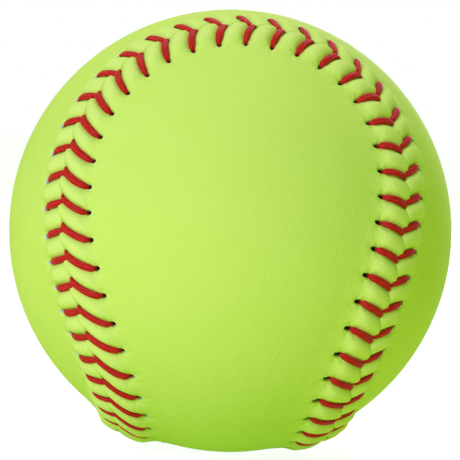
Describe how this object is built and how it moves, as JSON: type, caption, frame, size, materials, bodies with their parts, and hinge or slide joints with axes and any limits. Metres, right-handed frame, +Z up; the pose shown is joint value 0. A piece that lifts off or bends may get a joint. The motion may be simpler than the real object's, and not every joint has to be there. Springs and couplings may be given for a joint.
{
  "type": "softball",
  "caption": "Softball: a moulded round core under figure-eight leather panels, cemented on and sewn together along a raised seam with red waxed thread.",
  "frame": {"origin": "centre of the ball", "axes": "+Z up through the middle of the upper panel's neck, -Y towards the viewer through the lower panel's front lobe, +X to the viewer's right"},
  "size_m": [0.097, 0.097, 0.097],
  "materials": {
    "core": "moulded polyurethane, matte",
    "cement": "dried rubber cement",
    "cover_leather": "dyed optic yellow leather, satin",
    "seam_thread": "waxed twisted thread"
  },
  "bodies": {
    "root": {"moulded_core": "core", "lower_cement_film": "cement", "upper_cement_film": "cement", "lower_cover_panel": "cover_leather", "upper_cover_panel": "cover_leather", "first_seam_thread": "seam_thread", "second_seam_thread": "seam_thread"}
  },
  "joints": []
}
